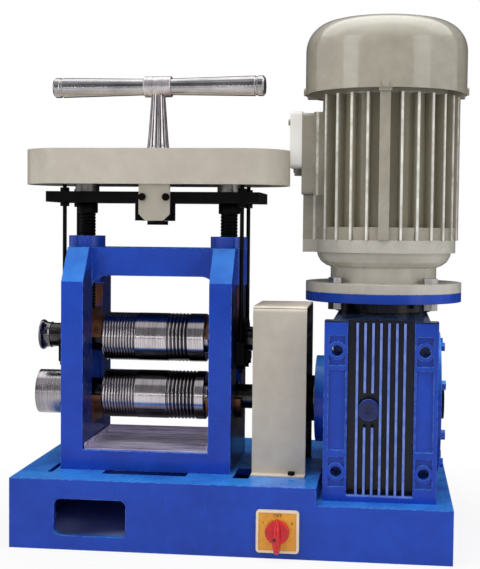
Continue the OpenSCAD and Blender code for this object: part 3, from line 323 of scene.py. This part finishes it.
def bearingBronze(name):
    c = bronzeSkin
    p = freshPaint(name)
    soft = p.round(c["rounding"])
    rub = p.noise(c["rub"], 4, c["stretch"])
    tone = p.mix(p.ramp(rub, (0.3, 0), (0.7, 1)), c["deep"], c["base"])
    x, y, z = p.axes()
    darkFront = (p.facing(1) < c["front"]) * p.between(z, *c["darkHeights"])  # darker on the front of the upper blocks
    tone = p.mix(darkFront * c["darkShare"], tone, c["darkening"])
    return p.done({"Base Color": tone, "Metallic": c["metal"], "Roughness": rub * c["spread"] + c["low"],
                   "Normal": p.bump(rub, c["bump"], c["depth"], soft)})


traySkin = {"rounding": 0.0006, "dent": 34, "dentStretch": (0.35, 1, 1), "scratch": 260,
            "scratchStretch": (0.05, 1, 1), "deep": rgb(140, 126, 160), "base": rgb(232, 222, 246), "metal": 0.2,
            "spread": 0.25, "low": 0.16, "dentShare": 0.7, "scratchShare": 0.3, "bump": 0.5, "depth": 0.002}


def scuffedSheet(name):
    c = traySkin
    p = freshPaint(name)
    soft = p.round(c["rounding"])
    dent = p.noise(c["dent"], 4, c["dentStretch"])
    scratch = p.noise(c["scratch"], 3, c["scratchStretch"])
    # the lavender tone is painted reflection, mottled by the sheet's real dents and scratches
    tone = p.mix(p.ramp(dent * 0.5 + scratch * 0.5, (0.36, 0), (0.62, 1)), c["deep"], c["base"])
    dull = p.ramp(scratch, (0.4, 0), (0.7, 1)) * c["spread"] + c["low"]
    relief = dent * c["dentShare"] + scratch * c["scratchShare"]
    return p.done({"Base Color": tone, "Metallic": c["metal"], "Roughness": dull,
                   "Normal": p.bump(relief, c["bump"], c["depth"], soft)})


mouldedSkin = {"rounding": 0.0006, "cloud": 120, "spread": 0.15, "grain": 900, "bump": 0.08, "depth": 0.0003}


def moulded(name, deep, base, rough):
    c = mouldedSkin
    p = freshPaint(name)
    soft = p.round(c["rounding"])
    cloud = p.noise(c["cloud"], 4)
    tone = p.mix(p.ramp(cloud, (0.35, 0), (0.7, 1)), deep, base)
    return p.done({"Base Color": tone, "Roughness": cloud * c["spread"] + rough,
                   "Normal": p.bump(p.noise(c["grain"], 2), c["bump"], c["depth"], soft)})


switchPlate = {"x": 0.059, "z": 0.032, "half": 0.0215, "rounding": 0.0006, "cloud": 60, "deep": rgb(224, 152, 36),
               "base": rgb(244, 180, 60), "border": rgb(240, 222, 190), "spread": 0.2, "low": 0.3, "grain": 800,
               "bump": 0.06, "depth": 0.0003}


def framedPlate(name):  # yellow with a pale border
    c = switchPlate
    p = freshPaint(name)
    soft = p.round(c["rounding"])
    x, y, z = p.axes()
    border = abs(x - c["x"]).atLeast(abs(z - c["z"])) > c["half"]
    cloud = p.noise(c["cloud"], 4)
    field = p.mix(p.ramp(cloud, (0.35, 0), (0.7, 1)), c["deep"], c["base"])
    tone = p.mix(border, field, c["border"])
    return p.done({"Base Color": tone, "Roughness": cloud * c["spread"] + c["low"],
                   "Normal": p.bump(p.noise(c["grain"], 2), c["bump"], c["depth"], soft)})


glossy = {"low": 0.18, "spread": 0.18, "coat": 0.14, "shine": 0.22}
wet = {"low": 0.10, "spread": 0.16, "coat": 0.45, "shine": 0.3}
satin = {"low": 0.34, "spread": 0.18, "coat": 0.10, "shine": 0.35}
blueTones = {"deep": rgb(17, 57, 160), "base": rgb(23, 72, 186), "thin": rgb(116, 168, 244),
             "dust": rgb(64, 158, 250), "settles": 0.85, "worn": 0.8}
plugTones = {"deep": rgb(20, 26, 66), "base": rgb(32, 42, 98), "thin": rgb(84, 98, 168),
             "dust": rgb(52, 70, 140), "settles": 0.5, "worn": 0.7}
creamTones = {"deep": rgb(182, 173, 158), "base": rgb(202, 193, 178), "thin": rgb(226, 220, 208),
              "dust": rgb(250, 238, 218), "settles": 0.9, "worn": 0.6}
bracketTones = {"deep": rgb(160, 152, 138), "base": rgb(178, 170, 154), "thin": rgb(210, 204, 192),
                "dust": rgb(206, 198, 182), "settles": 0.6, "worn": 0.6}
motorTones = {"deep": rgb(154, 148, 132), "base": rgb(176, 170, 153), "thin": rgb(214, 210, 198),
              "dust": rgb(206, 203, 192), "settles": 0.6, "worn": 0.7}
# a lighter copy of the motor paint: painted light on the flange shield
shieldLitTones = {"deep": rgb(186, 181, 168), "base": rgb(210, 205, 192), "thin": rgb(228, 224, 214),
               "dust": rgb(214, 210, 200), "settles": 0.5, "worn": 0.7}
lidTones = {"deep": rgb(245, 243, 236), "base": rgb(254, 253, 249), "thin": rgb(240, 238, 232),
            "dust": rgb(232, 230, 222), "settles": 0.5, "worn": 0.5}
enamels = {  # tones, gloss, rounding of edges, coarse grain, wear with painted shade and highlights
    "baseBlue": (blueTones, glossy, 0.0016, 0.5),
    "millBlue": (blueTones, glossy, 0.0018, 0.5, housingShade),
    "gearboxBlue": (blueTones, glossy, 0.0014, 0.7, gearboxShade),
    "plugBlue": (plugTones, glossy, 0.0010, 0.5),
    "creamEnamel": (creamTones, satin, 0.0014, 0.3),
    "bracketEnamel": (bracketTones, satin, 0.0014, 0.3),
    "guardEnamel": (creamTones, satin, 0.0014, 0.3, guardShade),
    "lidEnamel": (lidTones, satin, 0.0012, 0.4),
    "motorEnamel": (motorTones, wet, 0.0012, 0.6),
    "shieldEnamel": (shieldLitTones, glossy, 0.0012, 0.6),
    "finEnamel": (motorTones, glossy, 0.0009, 0.6, motorShade),
}
steels = {  # dark and light tone, roughness by lines, by stain and at least, scale of lines, grain, painted shade
    "rollSteel": (rgb(158, 151, 155), rgb(222, 216, 219), (0.12, 0.08, 0.10), 900, "ringsX", barrelOil),
    "shaftSteel": (rgb(140, 138, 136), rgb(200, 198, 196), (0.2, 0.12, 0.2), 700, "ringsX"),
    "ringSteel": (rgb(112, 108, 112), rgb(184, 178, 183), (0.14, 0.1, 0.14), 700, "ringsX"),
    "gearSteel": (rgb(110, 108, 108), rgb(176, 174, 172), (0.2, 0.15, 0.24), 700, "ringsZ"),
    "handleSteel": (rgb(126, 123, 125), rgb(196, 193, 194), (0.1, 0.06, 0.1), 300, "alongX"),
    "stemSteel": (rgb(150, 144, 147), rgb(226, 220, 223), (0.2, 0.1, 0.18), 260, "alongZ", stemShade),
    "collarSteel": (rgb(60, 58, 60), rgb(128, 125, 128), (0.1, 0.06, 0.08), 600, "ringsX"),
}
plastics = {  # deep and base tone, least roughness
    "blackPlastic": (rgb(14, 14, 14), rgb(30, 30, 30), 0.4),
    "redPlastic": (rgb(188, 10, 24), rgb(230, 26, 40), 0.16),
    "inkBlack": (rgb(16, 14, 12), rgb(34, 30, 26), 0.5),
}
finishes = {name: make(name, *row) for make, rows in ((enamel, enamels), (turnedSteel, steels), (moulded, plastics))
            for name, row in rows.items()}
for make in (blackSteel, bearingBronze, scuffedSheet, framedPlate):
    finishes[make.__name__] = make(make.__name__)
wear = {
    "baseBlue": ["base_frame", "base_deck"],
    "millBlue": ["mill_housing", "screw_nuts"],
    "gearboxBlue": ["gearbox_case", "side_cover", "input_flange", "cover_bolts"],
    "plugBlue": ["oil_plug"],
    "creamEnamel": ["gear_cover"],
    "bracketEnamel": ["cover_bracket"],
    "guardEnamel": ["gear_guard"],
    "lidEnamel": ["terminal_lid"],
    "shieldEnamel": ["flange_shield"],
    "motorEnamel": ["rear_shield", "fan_cowl", "terminal_box", "motor_screws", "cable_gland"],
    "finEnamel": ["motor_frame"],
    "rollSteel": ["upper_roll", "lower_roll"],
    "ringSteel": ["lower_ring"],
    "shaftSteel": ["drive_shaft", "output_sleeve", "foot_bolts", "flange_bolts"],
    "gearSteel": ["screw_gear_left", "screw_gear_right", "handle_pinion", "gearbox_bearings", "motor_bearings",
                  "motor_rotor", "worm"],
    "handleSteel": ["handle_bar"],
    "stemSteel": ["handle_stem"],
    "blackSteel": ["guard_screws", "handle_shaft", "cross_plate", "centre_block", "bracket_screws", "hanger_rods",
                   "hanger_nuts", "hangers", "screw_left", "screw_right", "upper_collar", "roll_coupling",
                   "shaft_cap", "stator", "upper_pinion", "lower_pinion"],
    "bearingBronze": ["lower_brasses", "upper_brasses", "worm_wheel"],
    "scuffedSheet": ["catch_tray"],
    "blackPlastic": ["switch_body", "cooling_fan"],
    "redPlastic": ["switch_knob"],
    "framedPlate": ["switch_plate"],
}
for finish, names in wear.items():
    for name in names:
        part = nodes[name]
        if not part.material_slots:
            part.data.materials.append(None)
        for holder in part.material_slots:
            holder.material = finishes[finish]
print("finishes:", len(finishes))


def piece(name, verts, faces, finish, body, slot, crease):  # crease in degrees: sharper edges stay sharp
    mesh = bpy.data.meshes.new(name)
    mesh.from_pydata(verts, [], faces)
    shape = bmesh.new()
    shape.from_mesh(mesh)
    bmesh.ops.remove_doubles(shape, verts=shape.verts, dist=1e-7)
    bmesh.ops.recalc_face_normals(shape, faces=shape.faces)
    for face in shape.faces:
        face.smooth = True
    for line in shape.edges:
        line.smooth = len(line.link_faces) == 2 and line.calc_face_angle(0) < math.radians(crease)
    shape.to_mesh(mesh)
    shape.free()
    mesh.materials.append(finishes[finish])
    made = bpy.data.objects.new(name, mesh)
    scene.collection.objects.link(made)
    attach(made, body)
    return made


def turned(rows, steps, place):  # rows of (height, radius or radius by angle), turned about Z and put in place
    verts, faces = [], []
    for height, radius in rows:
        for k in range(steps):
            a = 2 * math.pi * k / steps
            r = radius(a) if callable(radius) else radius
            verts.append(place @ Vector((r * math.cos(a), r * math.sin(a), height)))
    for j in range(len(rows) - 1):
        for k in range(steps):
            n = (k + 1) % steps
            faces.append((j * steps + k, j * steps + n, (j + 1) * steps + n, (j + 1) * steps + k))
    faces.append(tuple(range(steps))[::-1])
    faces.append(tuple((len(rows) - 1) * steps + k for k in range(steps)))
    return verts, faces


def gather(parts):  # several meshes as one
    verts, faces = [], []
    for v, f in parts:
        faces += [tuple(i + len(verts) for i in face) for face in f]
        verts += v
    return verts, faces


def toFront(x, y, z):  # turns +Z to the front, at a place
    return Matrix.Translation((x, y, z)) @ Matrix.Rotation(math.pi / 2, 4, "X")


pressScrew = {"lead": 0.004, "depth": 0.0009, "flank": 3, "flat": 0.4, "rows": 8, "steps": 48, "crease": 50,
              "chamfer": 0.001, "start": 0.0012, "runOut": 0.002, "root": 0.01075, "collar": 0.01325,
              "collarLow": 0.392, "journal": 0.00875, "journalLow": 0.4049}


def thread(z):  # radius by angle at one height of a press screw
    c = pressScrew

    def radius(a):
        turn = (z / c["lead"] - a / (2 * math.pi)) % 1
        return c["root"] - c["depth"] * min(1, max(0, abs(turn - 0.5) * c["flank"] - c["flat"]))

    return radius


def buildScrew(name, node, body):
    c = pressScrew
    low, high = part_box(node)
    cut, collar, journal = c["chamfer"], c["collarLow"], c["journalLow"]
    rows = [(low.z, c["root"] - c["depth"] - cut), (low.z + cut, c["root"] - c["depth"])]
    count = round((collar - low.z - c["runOut"]) / c["lead"] * c["rows"])
    first = low.z + c["start"]
    for k in range(count):
        z = first + (collar - first) * k / count
        rows.append((z, thread(z)))
    rows += [(collar, c["root"] - cut), (collar, c["collar"] - cut), (collar + cut, c["collar"]),
             (journal - cut, c["collar"]), (journal, c["collar"] - cut), (journal, c["journal"]),
             (high.z, c["journal"])]
    middle = Matrix.Translation(((low.x + high.x) / 2, (low.y + high.y) / 2, 0))
    made = piece(name, *turned(rows, c["steps"], middle), "blackSteel", body, "black_steel", c["crease"])
    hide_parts(node)


buildScrew("pressScrewLeft", "screw_left", "left_screw")
buildScrew("pressScrewRight", "screw_right", "right_screw")
print("press screws done")

handleStem = {"hubRise": 0.014, "turn": math.radians(-3), "foot": 0.0140, "footHigh": 0.003, "chamfer": 0.0006,
              "step": 0.0004, "top": 0.0090, "taper": 0.9, "flutes": 16, "depth": 0.0011, "sharp": 3, "rows": 12,
              "steps": 192, "neck": 0.0100, "tipDrop": 0.004, "tipShare": 0.9, "sleeveSteps": 64, "crease": 40,
              "sleeve": [(-0.0170, 0.0108), (-0.0170, 0.0122), (-0.0162, 0.0129), (0.0162, 0.0129),
                         (0.0170, 0.0122), (0.0170, 0.0108)]}


def fluted(r):  # radius by angle of the taper
    c = handleStem
    return lambda a: r - c["depth"] * max(0, math.cos(c["flutes"] * a)) ** c["sharp"]


def buildStem():  # a fluted taper with a cross sleeve for the arms
    c = handleStem
    low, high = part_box("handle_stem")
    x, y, barZ = (low.x + high.x) / 2, (low.y + high.y) / 2, high.z - c["hubRise"]
    rows = [(low.z, c["foot"] - c["chamfer"]), (low.z + c["chamfer"], c["foot"]),
            (low.z + c["footHigh"], c["foot"])]
    bottom, tip = low.z + c["footHigh"] + c["step"], barZ - c["neck"]
    for k in range(c["rows"] + 1):
        t = k / c["rows"]
        radius = c["foot"] - c["step"] + (c["top"] - c["foot"]) * t ** c["taper"]
        rows.append((bottom + (tip - bottom) * t, fluted(radius)))
    rows.append((barZ - c["tipDrop"], c["top"] * c["tipShare"]))
    upright = turned(rows, c["steps"], Matrix.Translation((x, y, 0)))
    along = Matrix.Rotation(c["turn"], 4, "Z") @ Matrix.Rotation(math.pi / 2, 4, "Y")
    crossed = turned(c["sleeve"], c["sleeveSteps"], Matrix.Translation((x, y, barZ)) @ along)
    made = piece("handleStem", *gather([upright, crossed]), "stemSteel", "handle", "polished_steel", c["crease"])
    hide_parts("handle_stem")


buildStem()
print("handle stem done")

handHole = {"x": -0.1600, "z": 0.038, "half": (0.0425, 0.0215), "front": -0.1550, "wall": 0.0080, "radius": 0.008,
            "steps": 8, "seat": 0.0003, "crease": 30}


def cornerFillet(sx, sz):  # one rounded corner in the base's front wall
    c = handHole
    x, z = c["x"] + sx * c["half"][0], c["z"] + sz * c["half"][1]
    rim = [(x + sx * c["seat"], z + sz * c["seat"]), (x + sx * c["seat"], z - sz * c["radius"])]
    for k in range(c["steps"] + 1):
        a = math.pi / 2 * k / c["steps"]
        rim.append((x - sx * c["radius"] * (1 - math.cos(a)), z - sz * c["radius"] * (1 - math.sin(a))))
    rim.append((x - sx * c["radius"], z + sz * c["seat"]))
    n = len(rim)
    verts = [Vector((u, y, w)) for y in (c["front"], c["front"] + c["wall"]) for u, w in rim]
    sides = [(k, (k + 1) % n, n + (k + 1) % n, n + k) for k in range(n)]
    return verts, sides + [tuple(range(n)), tuple(range(n, 2 * n))[::-1]]


corners = [cornerFillet(sx, sz) for sx in (-1, 1) for sz in (-1, 1)]
piece("handHoleCorners", *gather(corners), "baseBlue", "base", "blue_paint", handHole["crease"])
print("hand hole done")

endCollar = {"place": (-0.256, mill["y"], mill["upper"]), "steps": 64, "crease": 45,
             "profile": [(0, 0.0120), (0, 0.0160), (0.0006, 0.0184), (0.0016, 0.0190), (0.0032, 0.0190),
                         (0.0046, 0.0182), (0.0060, 0.0168), (0.0080, 0.0160), (0.0105, 0.0157), (0.0125, 0.0160),
                         (0.0136, 0.0164), (0.0140, 0.0160)]}
spun = Matrix.Translation(endCollar["place"]) @ Matrix.Rotation(math.pi / 2, 4, "Y")
made = piece("endCollar", *turned(endCollar["profile"], endCollar["steps"], spun), "collarSteel", "upper_roll_set",
             "black_steel", endCollar["crease"])
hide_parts("upper_collar")
print("end collar done")

switchKnob = {"seat": -0.1593, "gripSteps": 64, "crease": 50,
              "grip": [(0, 0.004), (0, 0.0128), (0.0006, 0.0138), (0.0040, 0.0138), (0.0052, 0.0132),
                       (0.0057, 0.0120)],
              "lever": [(0.0158, 0.0006, 0.0070), (0.0145, 0.0016, 0.0098), (0.0115, 0.0031, 0.0130),
                        (0.0070, 0.0044, 0.0156), (0.0020, 0.0052, 0.0170), (-0.0040, 0.0055, 0.0174),
                        (-0.0100, 0.0052, 0.0172), (-0.0155, 0.0045, 0.0164), (-0.0200, 0.0037, 0.0150),
                        (-0.0222, 0.0031, 0.0138), (-0.0229, 0.0022, 0.0120)],  # height, half width, rise
              "steps": 14, "leverFoot": 0.0040, "leverRound": 0.55}


def spindle():  # the lever across the round grip
    c = switchKnob
    verts, faces = [], []
    count = c["steps"] + 1
    for up, half, tall in c["lever"]:
        for k in range(count):
            t = math.pi * (k / c["steps"] - 0.5)
            rise = c["leverFoot"] + (tall - c["leverFoot"]) * max(0, math.cos(t)) ** c["leverRound"]
            verts.append(Vector((switchPlate["x"] + half * math.sin(t), c["seat"] - rise, switchPlate["z"] + up)))
    for j in range(len(c["lever"]) - 1):
        for k in range(c["steps"]):
            faces.append((j * count + k, j * count + k + 1, (j + 1) * count + k + 1, (j + 1) * count + k))
        faces.append((j * count + c["steps"], j * count, (j + 1) * count, (j + 1) * count + c["steps"]))
    faces.append(tuple(range(count)))
    faces.append(tuple((len(c["lever"]) - 1) * count + k for k in range(count))[::-1])
    return verts, faces


spot = toFront(switchPlate["x"], switchKnob["seat"], switchPlate["z"])
grip = turned(switchKnob["grip"], switchKnob["gripSteps"], spot)
made = piece("switchKnob", *gather([grip, spindle()]), "redPlastic", "knob", "red_knob", switchKnob["crease"])
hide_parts("switch_knob")
knobScrew = {"dx": -0.0015, "dz": -0.0050, "out": 0.0166, "radius": 0.0021, "steps": 24, "crease": 40,
             "profile": [(-0.003, 1), (0.0007, 1), (0.0009, 0.85), (0.0009, 0.5), (0.0003, 0.45)]}
spot = toFront(switchPlate["x"] + knobScrew["dx"], switchKnob["seat"] - knobScrew["out"],
               switchPlate["z"] + knobScrew["dz"])
rows = [(height, knobScrew["radius"] * share) for height, share in knobScrew["profile"]]
piece("knobScrew", *turned(rows, knobScrew["steps"], spot), "blackPlastic", "knob", "black_plastic",
      knobScrew["crease"])
print("switch knob done")

switchMarks = {"face": -0.15805, "thick": 0.0001, "marks": [("OFF", 0, 0.0180, 0.0056), ("I", -0.0165, 0.0095, 0.0050),
                                                            ("II", 0.0165, 0.0095, 0.0050)]}
for word, dx, dz, size in switchMarks["marks"]:
    words = bpy.data.curves.new("switchMark" + word, "FONT")
    words.body, words.size, words.extrude = word, size, switchMarks["thick"]
    words.align_x, words.align_y = "CENTER", "CENTER"
    words.materials.append(finishes["inkBlack"])
    mark = bpy.data.objects.new("switchMark" + word, words)
    scene.collection.objects.link(mark)
    mark.matrix_world = toFront(switchPlate["x"] + dx, switchMarks["face"], switchPlate["z"] + dz)
    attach(mark, "base")
print("switch marks done")

view = {"place": (0.17966, -1.49211, 0.37799), "yaw": 0.1238, "pitch": 0.0492, "roll": 0.0095, "focal": 1195.19,
        "pixels": 569, "sensor": 36}  # focal length in pixels of the picture's height
level = math.cos(view["pitch"])
forward = Vector((-math.sin(view["yaw"]) * level, math.cos(view["yaw"]) * level, -math.sin(view["pitch"])))
side = forward.cross(Vector((0, 0, 1))).normalized()
lift = side.cross(forward)
across = side * math.cos(view["roll"]) + lift * math.sin(view["roll"])
above = lift * math.cos(view["roll"]) - side * math.sin(view["roll"])
lens = bpy.data.cameras.new("lens")
lens.sensor_fit, lens.sensor_height = "VERTICAL", view["sensor"]
lens.lens = view["focal"] / view["pixels"] * view["sensor"]
camera = bpy.data.objects.new("camera", lens)
scene.collection.objects.link(camera)
camera.matrix_world = Matrix.Translation(view["place"]) @ Matrix((across, above, -forward)).transposed().to_4x4()
scene.camera = camera

lamps = {  # place, aim, size, power, whether bright metal mirrors it
    "topBox": ((0.1, -0.3, 2.1), (0.0, 0.0, 0.3), (1.8, 1.4), 24, False),
    "leftBox": ((-1.7, -1.5, 1.2), (0.0, 0.0, 0.3), (1.0, 1.6), 15, True),
    "rightBox": ((1.8, -1.3, 0.9), (0.1, 0.0, 0.3), (0.9, 1.5), 10, True),
}
for name, (place, aim, size, power, mirrored) in lamps.items():
    light = bpy.data.lights.new(name, "AREA")
    light.shape, light.size, light.size_y, light.energy = "RECTANGLE", size[0], size[1], power
    holder = bpy.data.objects.new(name, light)
    scene.collection.objects.link(holder)
    toward = (Vector(aim) - Vector(place)).to_track_quat("-Z", "Y")
    holder.matrix_world = Matrix.Translation(place) @ toward.to_matrix().to_4x4()
    holder.visible_glossy = mirrored


def stageSheet(name, verts, faces, paint):
    mesh = bpy.data.meshes.new(name)
    mesh.from_pydata(verts, [], faces)
    mesh.materials.append(paint.owner)
    made = bpy.data.objects.new(name, mesh)
    scene.collection.objects.link(made)
    return made


ground = {"x": 0.250, "y": 0.150, "near": 0.30, "far": 0.55, "shadow": 0.86, "under": rgb(180, 192, 255),
          "paper": ((0.80, 0.80, 0.81, 1), (0.84, 0.84, 0.84, 1)),
          "corners": [(-6, -6, 0), (6, -6, 0), (6, 8, 0), (-6, 8, 0)]}
p = freshPaint("groundPaper")
x, y, z = p.axes()
under = (abs(x) < ground["x"]) * (abs(y) < ground["y"])
away = (((x * x + y * y) ** 0.5 - ground["near"]) / (ground["far"] - ground["near"])).clamped()
# under the base the paper has no glow and is tinted blue: painted blue bounce light
tone = p.mix(under, p.mix(p.noise(3, 2), *ground["paper"]), ground["under"])
paper = p.node("ShaderNodeBsdfDiffuse", {}, {"Color": tone})
glow = p.node("ShaderNodeEmission", {}, {"Color": (1, 1, 1, 1), "Strength": 1.0})
share = p.seen() * (1 - under) * (away * (1 - ground["shadow"]) + ground["shadow"])
p.close(p.node("ShaderNodeMixShader", {}, {0: share, 1: paper, 2: glow}))
stageSheet("ground", ground["corners"], [(0, 1, 2, 3)], p)

room = {"outline": [(-3.2, 0.0), (-3.2, 4.0), (-0.6, 4.0), (3.0, 4.0), (3.0, 0.002), (0.5, 0.002)], "half": 6,
        "band": (0.30, 0.52, 0.08), "bandGlow": (4.0, 4.0, 4.0, 1),
        "wall": ((0.12, 0.12, 0.13, 1), (0.24, 0.24, 0.25, 1)), "front": (0.60, 0.60, 0.61, 1),
        "above": (2.2, 2.2, 2.2, 1), "shade": ((0.015, 0.015, 0.02, 1), (0.05, 0.05, 0.06, 1)), "split": -0.6,
        "ceiling": 3.9}  # what bright metal mirrors; no other ray sees it
p = freshPaint("roomCard")
x, y, z = p.axes()
cloud = p.noise(0.8, 2)
behind, ceiling = y > room["split"], z > room["ceiling"]
tone = p.mix(p.between(z, *room["band"]), p.mix(cloud, *room["wall"]), room["bandGlow"])
tone = p.mix(behind * (z < room["ceiling"]), tone, p.mix(cloud, *room["shade"]))
tone = p.mix(ceiling, tone, p.mix(behind, room["front"], room["above"]))
p.close(p.node("ShaderNodeEmission", {}, {"Color": tone, "Strength": 1.0}))
verts = [(s * room["half"], y, z) for y, z in room["outline"] for s in (-1, 1)]
strips = [(2 * k, 2 * k + 1, 2 * k + 3, 2 * k + 2) for k in range(len(room["outline"]) - 1)]
card = stageSheet("room", verts, strips, p)
card.visible_camera = card.visible_diffuse = card.visible_shadow = card.visible_transmission = False

studio = {"tone": (0.93, 0.95, 1.0, 1), "level": 0.42}
scene.world = bpy.data.worlds.new("studio")
sky = Paint(scene.world)
ambient = sky.node("ShaderNodeBackground", {}, {"Color": studio["tone"], "Strength": studio["level"]})
white = sky.node("ShaderNodeBackground", {}, {"Color": (1, 1, 1, 1), "Strength": 1.0})
sky.close(sky.node("ShaderNodeMixShader", {}, {0: sky.seen(), 1: ambient, 2: white}), "ShaderNodeOutputWorld")
scene.view_settings.view_transform = "Standard"
print("stage done")

bpy.context.view_layer.update()
